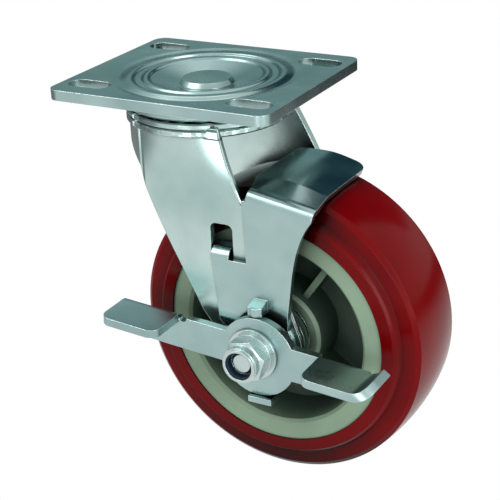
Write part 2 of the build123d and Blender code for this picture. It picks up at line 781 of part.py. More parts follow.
with BuildPart() as brake_lever:
    with BuildSketch(lever_plane(lever_inner_y)):
        with Locations((cam_offset_along, -cam_offset_down)):
            Circle(cam_r)
        with BuildLine():
            Polyline(
                (0, arm_top),
                (left_pad_start, arm_top),
                (left_pad_start, left_pad_top - pad_bend),
                (left_pad_end, left_pad_top - pad_bend),
                (left_pad_end, left_pad_top - pad_bend - 4),
                (left_pad_start - 15, arm_bottom),
                (-12, arm_bottom),
                (12, arm_bottom - 0.6),
                (right_pad_start - 4, arm_bottom),
                (right_pad_flat_end, 0),
                (right_pad_flat_end, right_pad_top - pad_bend),
                (right_pad_start, right_pad_top - pad_bend),
                (right_pad_start, arm_top),
                close=True,
            )
        make_face()
        with Locations((left_pad_start + relief_r, arm_top)):
            Circle(relief_r, mode=Mode.SUBTRACT)
        Circle(bush_r + running_gap, mode=Mode.SUBTRACT)
    extrude(amount=lever_thickness)
    pad_reach = lever_inner_y - pad_edge_y
    left_plane = pad_plane(left_pad_start, left_pad_top - pad_bend)
    left_edge = bent_edge(left_plane, pad_bend, lever_thickness, pad_reach)
    extrude(left_edge, amount=left_pad_start - left_pad_end, dir=left_plane.z_dir)
    right_plane = pad_plane(right_pad_flat_end, right_pad_top - pad_bend)
    right_edge = bent_edge(right_plane, pad_bend, lever_thickness, pad_reach)
    extrude(right_edge, amount=right_pad_flat_end - right_pad_start, dir=right_plane.z_dir)
    # The turned-up end of the right pad
    with BuildSketch(lever_plane(lever_inner_y - pad_bend)):
        curl_centre = (right_pad_flat_end, right_pad_top + right_pad_curl_r)
        outer_curl_r = right_pad_curl_r + lever_thickness
        with BuildLine():
            inner_curl = CenterArc(curl_centre, right_pad_curl_r, -90, right_pad_curl_angle)
            outer_curl = CenterArc(curl_centre, outer_curl_r, -90, right_pad_curl_angle)
            Line(inner_curl @ 1, outer_curl @ 1)
            Line(inner_curl @ 0, outer_curl @ 0)
        make_face()
    extrude(amount=pad_reach - pad_bend)
    pad_corners = brake_lever.edges().filter_by(
        lambda edge: edge.center().Y < pad_edge_y + 0.1 and abs(edge.length - lever_thickness) < 0.05
    )
    fillet(pad_corners.sort_by(Axis.X)[:-1], pad_corner)
    curl_end = brake_lever.edges().filter_by(
        lambda edge: edge.center().Y < pad_edge_y + 0.1 and abs(edge.length - lever_thickness) < 0.05
    )
    fillet(curl_end.sort_by(Axis.X)[-1], curl_corner)
save(brake_lever.part, "brake_lever")
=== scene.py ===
"""Swivel castor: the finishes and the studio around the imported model."""

import math

import bmesh
import bpy
from mathutils import Matrix, Vector


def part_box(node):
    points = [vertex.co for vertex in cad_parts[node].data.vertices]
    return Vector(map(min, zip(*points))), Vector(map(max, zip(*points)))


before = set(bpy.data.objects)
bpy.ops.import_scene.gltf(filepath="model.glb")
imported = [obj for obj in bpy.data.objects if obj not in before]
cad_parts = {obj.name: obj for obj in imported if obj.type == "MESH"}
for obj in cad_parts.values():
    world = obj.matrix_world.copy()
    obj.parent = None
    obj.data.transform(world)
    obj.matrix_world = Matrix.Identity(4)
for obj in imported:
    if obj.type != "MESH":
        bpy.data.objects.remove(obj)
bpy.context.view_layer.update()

bl_info = {
    "name": "Swivel Castor",
    "version": (1, 0, 0),
    "blender": (4, 5, 0),
    "location": "View3D > Sidebar > Castor",
    "description": "Finishes and studio for a swivel plate castor with a side brake",
    "category": "Object",
}

MM = 0.001
AXLE = (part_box("tread")[0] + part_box("tread")[1]) / 2
FLOOR_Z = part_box("tread")[0].z

# Noise keeps mostly between these two values
NOISE_RANGE = (0.3, 0.7)
# A noise texture's scale times the width of its spots
SPOT_SCALE = 0.5
# A wave texture's scale times the distance between its rings
RING_SCALE = 0.314
# Rays spent on each rounded edge and on each look into a gap
EDGE_RAYS = 6
GAP_RAYS = 8
# How far the rounded normal agrees with the face's own where an edge is brightened, and where it
# isn't; the brightening is partly wear from rubbing and partly a painted highlight
EDGE_HIGHLIGHT_AGREEMENT = (0.80, 0.97)
# Height of the plating's grain and of the rings that turning leaves
ZINC_GRAIN_DEPTH = 0.006 * MM
RING_DEPTH = 0.004 * MM
# Radius on the corners of mouldings and of the cast tread
PLASTIC_EDGE = 0.5 * MM
TREAD_EDGE = 0.6 * MM
# How far up a face looks before the lean starts, and where it is whole
LEAN_FACES = (0.86, 0.95)

# Height in millimetres of the top plate's pressed rings at each radius: the edge of the bowl,
# the inner crest, the groove and the outer crest over the balls
PLATE_RINGS = (
    (0, 0.0),
    (26.3, 0.0),
    (28.3, 1.2),
    (29.5, 1.2),
    (31.6, 0.0),
    (33.8, 0.0),
    (35.9, 2.0),
    (37.0, 2.0),
    (42.5, 0.0),
)
# In each pair of places below a mask starts at the first and is whole at the second.
# The near leg of the fork keeps the crown's roundness where it leaves it.
CROWN_RADIUS = 38 * MM
BULGE_LEFT_END = -16.3 * MM
BULGE_HEIGHTS = (-54 * MM, -6 * MM)
BULGE_LEAST = 0.1
NEAR_LEG = (-32.5 * MM, -33.5 * MM)
# The rolled edge round the crown
ROLL_BOTTOM = (-20.0 * MM, -19.2 * MM)
ROLL_TOP = (-14.8 * MM, -16.2 * MM)
ROLL_RADIUS = (38.0 * MM, 38.6 * MM)
PUCKER_DEPTH = 2.4 * MM

IMAGE_SIDE = 500
SENSOR = 36.0
WHITE = (1.0, 1.0, 1.0, 1.0)
# Brightness behind the object, from straight down (0) to straight up (1): a sweep that fades
# out, grey-green walls and a bright ceiling. In front all is white cloth.
SKY = (
    (0.0, (0.80, 0.84, 0.84)),
    (0.36, (0.60, 0.66, 0.66)),
    (0.44, (0.03, 0.07, 0.07)),
    (0.53, (0.03, 0.07, 0.07)),
    (0.57, (0.22, 0.34, 0.33)),
    (0.755, (0.24, 0.37, 0.39)),
    (0.81, (0.60, 0.68, 0.68)),
    (0.88, (1.0, 1.0, 1.0)),
)
FRONT_CLOTH = (0.90, 0.94, 0.94, 1.0)
# Where the back of the studio takes over from the front, and the share of white cloth that
# hangs in it towards the right. Directions are of length 1.
BACK_START = (-0.25, 0.25)
RIGHT_CLOTH = 0.6
RIGHT_START = (-0.1, 0.4)
FLOOR_RADIUS = 3.0
# The floor lies just under the tyre
FLOOR_GAP = 0.2 * MM
FLOOR_GRAIN = 50 * MM
# The white light that the steel sees in the floor is painted to fade to the left, against this
# direction, and to the back. Each fade runs between two distances in metres, down to its least
# share.
FLOOR_RIGHT = (0.8, -0.6)
FLOOR_LEFT_FADE = (-0.34, -0.04)
FLOOR_LEFT_LEAST = 0.3
FLOOR_BACK_FADE = (0.1, 0.6)
FLOOR_BACK_LEAST = 0.05
# Name, place, width and height, and the property that holds its power
LAMPS = (
    ("key_softbox", (-0.55, -0.55, 0.85), (0.8, 0.8), "key_power"),
    ("fill_softbox", (1.05, -0.45, 0.15), (0.5, 1.0), "fill_power"),
    ("top_softbox", (-0.38, 0.45, 0.88), (0.6, 0.4), "top_power"),
    ("low_softbox", (0.34, -0.94, -0.04), (0.5, 0.4), "low_power"),
)
# The dim card: its place, the point it faces, its sides in metres and the light it gives off,
# painted light since the card is no lamp
FLAG_PLACE = Vector((0.12, 0.75, 0.48))
FLAG_AIM = Vector((0.06, 0.0, -0.04))
FLAG_SIZE = (0.60, 0.80, 1.0)
FLAG_GLOW = (0.012, 0.05, 0.07, 1.0)


# ---------------------------------------------------------------- sizes and colours


class CastorSizes(bpy.types.PropertyGroup):
    """Real sizes of the surface detail, in metres"""

    edge_radius: bpy.props.FloatProperty(
        name="Edge radius",
        description="Radius that tumbling and plating leave on a pressed edge",
        default=0.45 * MM,
        unit="LENGTH",
    )
    sheet_wave: bpy.props.FloatProperty(
        name="Sheet wave",
        description="Width of the shallow waves that pressing leaves in sheet",
        default=22 * MM,
        unit="LENGTH",
    )
    zinc_grain: bpy.props.FloatProperty(
        name="Zinc grain",
        description="Width of the soft grain in the plating",
        default=0.9 * MM,
        unit="LENGTH",
    )
    plate_stain: bpy.props.FloatProperty(
        name="Plating cloud",
        description="Width of the faint cloudy patches in the passivated zinc",
        default=24 * MM,
        unit="LENGTH",
    )
    crimp_pitch: bpy.props.FloatProperty(
        name="Crimp pitch",
        description="Width of the puckers in the rolled edge under the swivel head",
        default=5 * MM,
        unit="LENGTH",
    )
    lathe_pitch: bpy.props.FloatProperty(
        name="Lathe pitch",
        description="Distance between the rings on fasteners, coarser than real so that they show",
        default=1.0 * MM,
        unit="LENGTH",
    )
    mould_grain: bpy.props.FloatProperty(
        name="Mould grain",
        description="Width of the spark-eroded grain on the wheel's core",
        default=0.7 * MM,
        unit="LENGTH",
    )
    turning_pitch: bpy.props.FloatProperty(
        name="Turning pitch",
        description="Distance between the faint rings left in the tread by its mould",
        default=3.2 * MM,
        unit="LENGTH",
    )


class CastorColours(bpy.types.PropertyGroup):
    """sRGB hex colours of the finishes"""

    zinc_light: bpy.props.StringProperty(
        name="Zinc, light", description="Zinc plating where it is brightest", default="#AEC6C3"
    )
    zinc_dark: bpy.props.StringProperty(
        name="Zinc, dark", description="Zinc plating in its cloudier patches", default="#8DA8A8"
    )
    # Partly painted highlight: this brightens pressed edges, partly as wear and partly standing in
    # for light catching them
    zinc_rubbed_highlight: bpy.props.StringProperty(
        name="Zinc, rubbed", description="Bright zinc along rubbed edges", default="#DDE4E3"
    )
    # Painted shade: the dark colour laid into corners and gaps where shade falls
    zinc_painted_shade: bpy.props.StringProperty(
        name="Zinc, film", description="Dull film left in corners and gaps", default="#16211F"
    )
    fork_light: bpy.props.StringProperty(
        name="Fork, light", description="Brighter zinc on the drawn fork", default="#C8DBD6"
    )
    fork_dark: bpy.props.StringProperty(
        name="Fork, dark", description="Cloudier patches on the fork", default="#A0BAB7"
    )
    fastener: bpy.props.StringProperty(
        name="Fasteners", description="Zinc plated nut, bolt and washers", default="#BCCCCA"
    )
    # Partly painted highlight: this brightens turned corners, partly as wear and partly standing in
    # for light catching them
    fastener_rubbed_highlight: bpy.props.StringProperty(
        name="Fasteners, rubbed", description="Corners of turned pieces", default="#E6EBEA"
    )
    bearing: bpy.props.StringProperty(
        name="Bearing steel", description="Ground rings and balls", default="#C9CCCB"
    )
    core: bpy.props.StringProperty(
        name="Wheel core", description="Grey-green moulded polypropylene", default="#8AA088"
    )
    core_shade: bpy.props.StringProperty(
        name="Wheel core, duller", description="Flow marks in the moulding", default="#7C917B"
    )
    # Painted shade: the dark colour laid into the dish and under other parts, standing in for their
    # shade
    core_painted_shade: bpy.props.StringProperty(
        name="Wheel core, recess", description="Oily film deep in the dish", default="#26352C"
    )
    tread: bpy.props.StringProperty(
        name="Tread", description="Dark red cast polyurethane", default="#780104"
    )
    tread_shade: bpy.props.StringProperty(
        name="Tread, deeper", description="Thicker, deeper coloured polyurethane", default="#640104"
    )
    # Painted shade: the dark red used where the tread sits in shade
    tread_painted_shade: bpy.props.StringProperty(
        name="Tread, gaps", description="Polyurethane where little light comes", default="#120002"
    )
    nylon: bpy.props.StringProperty(
        name="Nylon", description="Locking ring in the nut", default="#0C2030"
    )
    seal: bpy.props.StringProperty(
        name="Seal", description="Nitrile bearing seal", default="#1B1C1B"
    )
    floor: bpy.props.StringProperty(
        name="Floor", description="Grey studio floor", default="#A6A6A6"
    )


class CastorStage(bpy.types.PropertyGroup):
    """Camera and lamps of the studio"""

    yaw: bpy.props.FloatProperty(
        name="Camera yaw",
        description="Turn of the camera about the swivel axis from the brake's side",
        default=math.radians(29.63),
        subtype="ANGLE",
    )
    pitch: bpy.props.FloatProperty(
        name="Camera pitch",
        description="Angle at which the camera looks down",
        default=math.radians(23.56),
        subtype="ANGLE",
    )
    roll: bpy.props.FloatProperty(
        name="Camera roll",
        description="Tilt of the camera about its own line of sight",
        default=math.radians(-2.52),
        subtype="ANGLE",
    )
    distance: bpy.props.FloatProperty(
        name="Camera distance",
        description="From the lens to the point it looks at",
        default=658.52 * MM,
        unit="LENGTH",
    )
    target: bpy.props.FloatVectorProperty(
        name="Camera target",
        description="Point that the camera looks at",
        default=(19.35 * MM, 0.0, -88.15 * MM),
        subtype="TRANSLATION",
    )
    focal_px: bpy.props.FloatProperty(
        name="Focal length",
        description="Focal length in widths of one picture point",
        default=1334.69,
    )
    key_power: bpy.props.FloatProperty(
        name="Key lamp", description="Power of the soft box at the left", default=6.0, unit="POWER"
    )
    fill_power: bpy.props.FloatProperty(
        name="Fill lamp",
        description="Power of the soft box at the right",
        default=6.0,
        unit="POWER",
    )
    top_power: bpy.props.FloatProperty(
        name="Top lamp", description="Power of the soft box overhead", default=0.7, unit="POWER"
    )
    low_power: bpy.props.FloatProperty(
        name="Low lamp", description="Power of the small low soft box", default=2.6, unit="POWER"
    )


# ---------------------------------------------------------------- materials


def linear(hex_colour):
    """An sRGB hex colour as linear RGBA."""
    parts = [int(hex_colour[i : i + 2], 16) / 255 for i in (1, 3, 5)]
    return [p / 12.92 if p <= 0.04045 else ((p + 0.055) / 1.055) ** 2.4 for p in parts] + [1.0]


def add_node(tree, kind, inputs=None, **settings):
    """Adds a node, sets its settings, and sets or links its inputs, given by name or place."""
    made = tree.nodes.new(kind)
    for name, value in settings.items():
        setattr(made, name, value)
    for name, value in (inputs or {}).items():
        socket = made.inputs[name]
        if isinstance(value, bpy.types.NodeSocket):
            tree.links.new(value, socket)
        else:
            socket.default_value = value
    return made


def span(value, start, end, low=0.0, high=1.0):
    """Map Range inputs that give low at start and high at end."""
    return {"Value": value, "From Min": start, "From Max": end, "To Min": low, "To Max": high}


def spots(place, width, detail):
    """Noise inputs whose spots are about width across."""
    return {"Vector": place, "Scale": SPOT_SCALE / width, "Detail": detail, "Roughness": 0.5}


def new_material(name):
    """An empty node material and its output node."""
    material = bpy.data.materials.new(name)
    material.use_nodes = True
    material.node_tree.nodes.clear()
    output = add_node(material.node_tree, "ShaderNodeOutputMaterial")
    return material, material.node_tree, output


def finish_material(tree, output, shader):
    """Links the last shader to the material's surface."""
    tree.links.new(shader.outputs[0], output.inputs["Surface"])


def mottled(tree, place, width, detail, low, high):
    """A value in soft spots about width across, from low to high."""
    noise = add_node(tree, "ShaderNodeTexNoise", spots(place, width, detail)).outputs["Fac"]
    value = add_node(tree, "ShaderNodeMapRange", span(noise, *NOISE_RANGE, low, high))
    return value.outputs["Result"]


def clouded(tree, place, width, detail, dark, light):
    """Two hex colours in soft clouds about width across."""
    share = mottled(tree, place, width, detail, 0.0, 1.0)
    return add_node(
        tree,
        "ShaderNodeMix",
        {"Factor": share, "A": linear(dark), "B": linear(light)},
        data_type="RGBA",
    ).outputs["Result"]


def dimpled(tree, place, normal, width, detail, depth, strength):
    """The normal of a surface with soft dimples about width across."""
    noise = add_node(tree, "ShaderNodeTexNoise", spots(place, width, detail)).outputs["Fac"]
    return add_node(
        tree,
        "ShaderNodeBump",
        {"Height": noise, "Distance": depth, "Strength": strength, "Normal": normal},
    ).outputs["Normal"]


def ringed(tree, place, pitch, distortion, detail):
    """Rings about the axle, pitch apart."""
    centred = add_node(
        tree, "ShaderNodeVectorMath", {0: place, 1: AXLE}, operation="SUBTRACT"
    ).outputs["Vector"]
    return add_node(
        tree,
        "ShaderNodeTexWave",
        {
            "Vector": centred,
            "Scale": RING_SCALE / pitch,
            "Distortion": distortion,
            "Detail": detail,
        },
        wave_type="RINGS",
        rings_direction="Y",
    ).outputs["Fac"]


def edge_normal_and_highlight(tree, radius):
    """Rounded-edge normal, and a mask that is 1 along the edges and 0 on flat faces; the mask
    brightens edges, partly as wear and partly as a painted highlight.
    """
    rounded = add_node(tree, "ShaderNodeBevel", {"Radius": radius}, samples=EDGE_RAYS)
    rounded = rounded.outputs["Normal"]
    flat = add_node(tree, "ShaderNodeNewGeometry").outputs["Normal"]
    agree = add_node(tree, "ShaderNodeVectorMath", {0: rounded, 1: flat}, operation="DOT_PRODUCT")
    mask = add_node(
        tree, "ShaderNodeMapRange", span(agree.outputs["Value"], *EDGE_HIGHLIGHT_AGREEMENT, 1.0, 0.0)
    )
    return rounded, mask.outputs["Result"]


def open_share(tree, reach, closed, opened, only_local=False):
    """1 on open faces, falling to 0 in gaps and corners narrower than reach."""
    hollow = add_node(
        tree,
        "ShaderNodeAmbientOcclusion",
        {"Distance": reach},
        samples=GAP_RAYS,
        only_local=only_local,
    )
    return add_node(
        tree, "ShaderNodeMapRange", span(hollow.outputs["AO"], closed, opened)
    ).outputs["Result"]


def radius_about_z(tree, place):
    """Distance from the swivel axis."""
    flat = add_node(
        tree, "ShaderNodeVectorMath", {0: place, 1: (1, 1, 0)}, operation="MULTIPLY"
    ).outputs["Vector"]
    return add_node(tree, "ShaderNodeVectorMath", {0: flat}, operation="LENGTH").outputs["Value"]


def plate_rings(tree, place):
    """Height of the top plate's pressed rings, eased from point to point, and its full depth."""
    reach = PLATE_RINGS[-1][0]
    top = max(height for _, height in PLATE_RINGS)
    share = add_node(
        tree, "ShaderNodeMapRange", span(radius_about_z(tree, place), 0.0, reach * MM)
    ).outputs["Result"]
    ramp = add_node(tree, "ShaderNodeValToRGB", {"Fac": share})
    ramp.color_ramp.interpolation = "EASE"
    stops = ramp.color_ramp.elements
    ends = (PLATE_RINGS[0], PLATE_RINGS[-1])
    for stop, (radius, height) in zip(stops, ends):
        stop.position, stop.color = radius / reach, (*[height / top] * 3, 1)
    for radius, height in PLATE_RINGS[1:-1]:
        stops.new(radius / reach).color = (*[height / top] * 3, 1)
    return ramp.outputs["Color"], top * MM


def product(tree, *factors):
    """Values and masks multiplied together."""
    whole = factors[0]
    for factor in factors[1:]:
        step = add_node(tree, "ShaderNodeMath", {0: whole, 1: factor}, operation="MULTIPLY")
        whole = step.outputs[0]
    return whole


def fork_draw(tree, place, crimp_pitch):
    """How pressing leaves the fork: the near leg still bulges as the crown does where it leaves
    it, and flattens downwards, and the crown's rolled lower edge is puckered."""
    axes = add_node(tree, "ShaderNodeSeparateXYZ", {"Vector": place}).outputs
    across = add_node(
        tree, "ShaderNodeMath", {0: axes["X"], 1: BULGE_LEFT_END}, operation="MAXIMUM"
    ).outputs[0]
    high = add_node(
        tree,
        "ShaderNodeMapRange",
        span(axes["Z"], *BULGE_HEIGHTS, BULGE_LEAST, 1.0),
        interpolation_type="SMOOTHSTEP",
    ).outputs["Result"]
    masks = (
        (axes["Y"], NEAR_LEG),
        (axes["Z"], ROLL_TOP),
        (axes["Z"], ROLL_BOTTOM),
        (radius_about_z(tree, place), ROLL_RADIUS),
    )
    near, below, above, outside = (
        add_node(tree, "ShaderNodeMapRange", span(value, *edge)).outputs["Result"]
        for value, edge in masks
    )
    # A circle falls away from its top by about the square of the distance over 2 radii
    leg = product(tree, across, across, -0.5 / CROWN_RADIUS, high, near)
    noise = add_node(tree, "ShaderNodeTexNoise", spots(place, crimp_pitch, 2.0)).outputs["Fac"]
    puckers = product(tree, below, above, outside, noise, PUCKER_DEPTH)
    height = add_node(tree, "ShaderNodeMath", {0: leg, 1: puckers}, operation="ADD").outputs[0]
    return height, 1.0


def lean_forward(tree, normal, slope):
    """Tilts the faces that look up towards the front of the castor by a small slope."""
    up = add_node(tree, "ShaderNodeSeparateXYZ", {"Vector": normal}).outputs["Z"]
    share = add_node(
        tree,
        "ShaderNodeMapRange",
        span(up, *LEAN_FACES, 0.0, slope),
        interpolation_type="SMOOTHSTEP",
    ).outputs["Result"]
    shift = add_node(tree, "ShaderNodeCombineXYZ", {"X": share}).outputs["Vector"]
    moved = add_node(tree, "ShaderNodeVectorMath", {0: normal, 1: shift}, operation="ADD")
    return add_node(
        tree, "ShaderNodeVectorMath", {0: moved.outputs["Vector"]}, operation="NORMALIZE"
    ).outputs["Vector"]


def plated_steel(
    name,
    scene,
    shades,
    rough,
    wave_depth,
    wave_share=1.0,
    relief=None,
    painted_shade_reach=7 * MM,
    lean=0.0,
):
    """Low carbon steel sheet, pressed, tumbled and bright zinc plated with a blue passivate.
    To the eye: a soft, slightly cloudy silver with long shallow waves, brighter edges that are
    partly worn by rubbing and partly a painted highlight, and painted shade darkening the corners
    and gaps."""
    sizes, colours = scene.castor_sizes, scene.castor_colours
    material, tree, output = new_material(name)
    place = add_node(tree, "ShaderNodeTexCoord").outputs["Object"]
    normal, edge = edge_normal_and_highlight(tree, sizes.edge_radius)
    if lean:
        normal = lean_forward(tree, normal, lean)
    if relief:
        height, relief_depth = relief(tree, place)
        normal = add_node(
            tree,
            "ShaderNodeBump",
            {"Height": height, "Distance": relief_depth, "Strength": 1.0, "Normal": normal},
        ).outputs["Normal"]
    plating = clouded(tree, place, sizes.plate_stain, 3.0, *shades)
    # Edges brightened partly by wear and partly by a painted highlight
    rubbed_and_highlit = add_node(
        tree,
        "ShaderNodeMix",
        {"Factor": edge, "A": plating, "B": linear(colours.zinc_rubbed_highlight)},
        data_type="RGBA",
    ).outputs["Result"]
    # Painted shade: the dark colour is whole where a corner is less than 15 % open, and ends at 80
    # %
    open_unshaded = open_share(tree, painted_shade_reach, closed=0.15, opened=0.8)
    gap_shaded = add_node(
        tree,
        "ShaderNodeMix",
        {"Factor": open_unshaded, "A": linear(colours.zinc_painted_shade), "B": rubbed_and_highlit},
        data_type="RGBA",
    ).outputs["Result"]
    wave_width = sizes.sheet_wave * wave_share
    normal = dimpled(tree, place, normal, wave_width, detail=1.0, depth=wave_depth, strength=1.0)
    normal = dimpled(
        tree, place, normal, sizes.zinc_grain, detail=3.0, depth=ZINC_GRAIN_DEPTH, strength=0.8
    )
    roughness = mottled(
        tree, place, sizes.plate_stain / 3, detail=4.0, low=rough - 0.05, high=rough + 0.06
    )
    shader = add_node(
        tree,
        "ShaderNodeBsdfPrincipled",
        {"Base Color": gap_shaded, "Metallic": 1.0, "Roughness": roughness, "Normal": normal},
    )
    finish_material(tree, output, shader)
    return material


def turned_steel(name, scene, colour, edge_radius, rough):
    """Steel turned in a lathe about the axle, then zinc plated.
    To the eye: silver with very fine rings round the axle and bright corners, partly worn by
    rubbing and partly a painted highlight."""
    sizes, colours = scene.castor_sizes, scene.castor_colours
    material, tree, output = new_material(name)
    place = add_node(tree, "ShaderNodeTexCoord").outputs["Object"]
    normal, edge = edge_normal_and_highlight(tree, edge_radius)
    # Corners brightened partly by wear and partly by a painted highlight
    base = add_node(
        tree,
        "ShaderNodeMix",
        {"Factor": edge, "A": linear(colour), "B": linear(colours.fastener_rubbed_highlight)},
        data_type="RGBA",
    ).outputs["Result"]
    rings = ringed(tree, place, sizes.lathe_pitch, distortion=1.5, detail=2.0)
    normal = add_node(
        tree,
        "ShaderNodeBump",
        {"Height": rings, "Distance": RING_DEPTH, "Strength": 0.6, "Normal": normal},
    ).outputs["Normal"]
    roughness = mottled(tree, place, 3 * MM, detail=3.0, low=rough - 0.04, high=rough + 0.05)
    shader = add_node(
        tree,
        "ShaderNodeBsdfPrincipled",
        {"Base Color": base, "Metallic": 1.0, "Roughness": roughness, "Normal": normal},
    )
    finish_material(tree, output, shader)
    return material


def moulded_plastic(name, light, dark, grain, rough, depth, recess=None):
    """Injection moulded plastic from a spark-eroded mould.
    To the eye: satin, even colour with faint flow clouds and a very fine grain; when a recess
    colour is given, painted shade makes its recesses much darker."""
    material, tree, output = new_material(name)
    place = add_node(tree, "ShaderNodeTexCoord").outputs["Object"]
    colour = clouded(tree, place, 20 * MM, 3.0, dark, light)
    if recess:
        # Painted shade: the piece's own hollows, and less strongly the places that others stand
        # over, darken towards the recess colour
        own = open_share(tree, 40 * MM, closed=0.45, opened=0.96, only_local=True)
        core_unshaded = product(tree, own, open_share(tree, 24 * MM, closed=0.25, opened=0.85))
        colour = add_node(
            tree,
            "ShaderNodeMix",
            {"Factor": core_unshaded, "A": linear(recess), "B": colour},
            data_type="RGBA",
        ).outputs["Result"]
    rounded = add_node(tree, "ShaderNodeBevel", {"Radius": PLASTIC_EDGE}, samples=EDGE_RAYS)
    rounded = rounded.outputs["Normal"]
    normal = dimpled(tree, place, rounded, grain, detail=3.0, depth=depth, strength=0.8)
    roughness = mottled(tree, place, 8 * MM, detail=3.0, low=rough - 0.05, high=rough + 0.05)
    shader = add_node(
        tree,
        "ShaderNodeBsdfPrincipled",
        {
            "Base Color": colour,
            "Roughness": roughness,
            "IOR": 1.49,
            "Specular IOR Level": 0.3,
            "Normal": normal,
        },
    )
    finish_material(tree, output, shader)
    return material


def cast_polyurethane(name, scene):
    """Polyurethane cast round the core in a turned mould.
    To the eye: a deep red with a wet gloss and the mould's faint rings, with painted shade
    darkening it beside and under the brake plate."""
    sizes, colours = scene.castor_sizes, scene.castor_colours
    material, tree, output = new_material(name)
    place = add_node(tree, "ShaderNodeTexCoord").outputs["Object"]
    colour = clouded(tree, place, 30 * MM, 2.0, colours.tread_shade, colours.tread)
    # Painted shade: the red is darkened beside the brake plate and under it, where shade falls
    lit = open_share(tree, 38 * MM, closed=0.46, opened=0.98)
    colour = add_node(
        tree,
        "ShaderNodeMix",
        {"Factor": lit, "A": linear(colours.tread_painted_shade), "B": colour},
        data_type="RGBA",
    ).outputs["Result"]
    rounded = add_node(tree, "ShaderNodeBevel", {"Radius": TREAD_EDGE}, samples=EDGE_RAYS)
    rings = ringed(tree, place, sizes.turning_pitch, distortion=0.8, detail=1.0)
    turned = add_node(
        tree,
        "ShaderNodeBump",
        {
            "Height": rings,
            "Distance": RING_DEPTH,
            "Strength": 0.5,
            "Normal": rounded.outputs["Normal"],
        },
    ).outputs["Normal"]
    normal = dimpled(tree, place, turned, 9 * MM, detail=2.0, depth=0.05 * MM, strength=0.6)
    roughness = mottled(tree, place, 12 * MM, detail=3.0, low=0.14, high=0.24)
    shader = add_node(
        tree,
        "ShaderNodeBsdfPrincipled",
        {
            "Base Color": colour,
            "Roughness": roughness,
            "IOR": 1.48,
            "Specular IOR Level": 0.12,
            "Normal": normal,
        },
    )
    finish_material(tree, output, shader)
    return material


def dress(material, *nodes):
    """Gives CAD nodes a finish."""
    for name in nodes:
        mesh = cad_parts[name].data
        mesh.materials.clear()
        mesh.materials.append(material)


# ---------------------------------------------------------------- operators


class CASTOR_OT_pressed_steel(bpy.types.Operator):
    """Finish the zinc plated pressings: plate, kingpin, races, fork and thread guards"""

    bl_idname = "castor.pressed_steel"
    bl_label = "Pressed steel"

    def execute(self, context):
        scene, colours = context.scene, context.scene.castor_colours
        zinc = (colours.zinc_dark, colours.zinc_light)
        crimp_pitch = scene.castor_sizes.crimp_pitch
        drawn = plated_steel(
            "zinc_plated_drawn_sheet",
            scene,
            (colours.fork_dark, colours.fork_light),
            rough=0.24,
            wave_depth=0.25 * MM,
            relief=lambda tree, place: fork_draw(tree, place, crimp_pitch),
        )
        dress(drawn, "fork")
        ringed_sheet = plated_steel(
            "zinc_plated_ringed_sheet",
            scene,
            zinc,
            rough=0.24,
            wave_depth=0.2 * MM,
            relief=plate_rings,
            painted_shade_reach=14 * MM,
        )
        # Inside the bowl the rings' height is 0, so the pin shares the plate's finish
        dress(ringed_sheet, "top_plate", "kingpin")
        dress(
            plated_steel("zinc_plated_sheet", scene, zinc, rough=0.26, wave_depth=0.9 * MM),
            "upper_race",
            "lower_race",
            "thread_guard_near",
            "thread_guard_far",
        )
        return {"FINISHED"}


class CASTOR_OT_brake(bpy.types.Operator):
    """Finish the brake plate and its cam lever"""

    bl_idname = "castor.brake"
    bl_label = "Brake"

    def execute(self, context):
        colours = context.scene.castor_colours
        zinc = (colours.zinc_dark, colours.zinc_light)
        for node, rough, lean in (("brake_shoe", 0.22, 0.12), ("brake_lever", 0.30, 0.0)):
            finish = plated_steel(
                f"zinc_plated_{node}",
                context.scene,
                zinc,
                rough=rough,
                wave_depth=0.25 * MM,
                wave_share=1.5,
                lean=lean,
            )
            dress(finish, node)
        return {"FINISHED"}


class CASTOR_OT_wheel(bpy.types.Operator):
    """Finish the wheel's tread and core"""

    bl_idname = "castor.wheel"
    bl_label = "Wheel"

    def execute(self, context):
        colours = context.scene.castor_colours
        dress(cast_polyurethane("cast_polyurethane", context.scene), "tread")
        dress(
            moulded_plastic(
                "moulded_polypropylene",
                colours.core,
                colours.core_shade,
                grain=context.scene.castor_sizes.mould_grain,
                rough=0.45,
                depth=0.02 * MM,
                recess=colours.core_painted_shade,
            ),
            "wheel_core",
        )
        return {"FINISHED"}


class CASTOR_OT_bearings(bpy.types.Operator):
    """Finish the ball bearings and their seals"""

    bl_idname = "castor.bearings"
    bl_label = "Bearings"

    def execute(self, context):
        colours = context.scene.castor_colours
        ground = turned_steel(
            "ground_bearing_steel", context.scene, colours.bearing, edge_radius=0.3 * MM, rough=0.16
        )
        dress(
            ground,
            "upper_balls",
            "lower_balls",
            "bearing_outer_near",
            "bearing_outer_far",
            "bearing_inner_near",
            "bearing_inner_far",
            "bearing_balls_near",
            "bearing_balls_far",
        )
        dress(
            moulded_plastic(
                "nitrile_seal",
                colours.seal,
                colours.seal,
                grain=0.6 * MM,
                rough=0.55,
                depth=0.02 * MM,
            ),
            "bearing_seal_near",
            "bearing_seal_far",
        )
        return {"FINISHED"}


class CASTOR_OT_axle(bpy.types.Operator):
    """Finish the axle bolt, nut, washers, sleeve and spacers"""

    bl_idname = "castor.axle"
    bl_label = "Axle"

    def execute(self, context):
        colours = context.scene.castor_colours
        plated = turned_steel(
            "zinc_plated_fastener",
            context.scene,
            colours.fastener,
            edge_radius=0.35 * MM,
            rough=0.24,
        )
        dress(
            plated,
            "axle_bolt",
            "axle_sleeve",
            "axle_nut",
            "hub_spacer_near",
            "hub_spacer_far",
            "head_washer",
            "pivot_bush",
            "flat_washer",
            "lock_washer",
        )
        dress(
            moulded_plastic(
                "nylon_ring",
                colours.nylon,
                colours.nylon,
                grain=0.5 * MM,
                rough=0.35,
                depth=0.01 * MM,
            ),
            "nut_insert",
        )
        return {"FINISHED"}


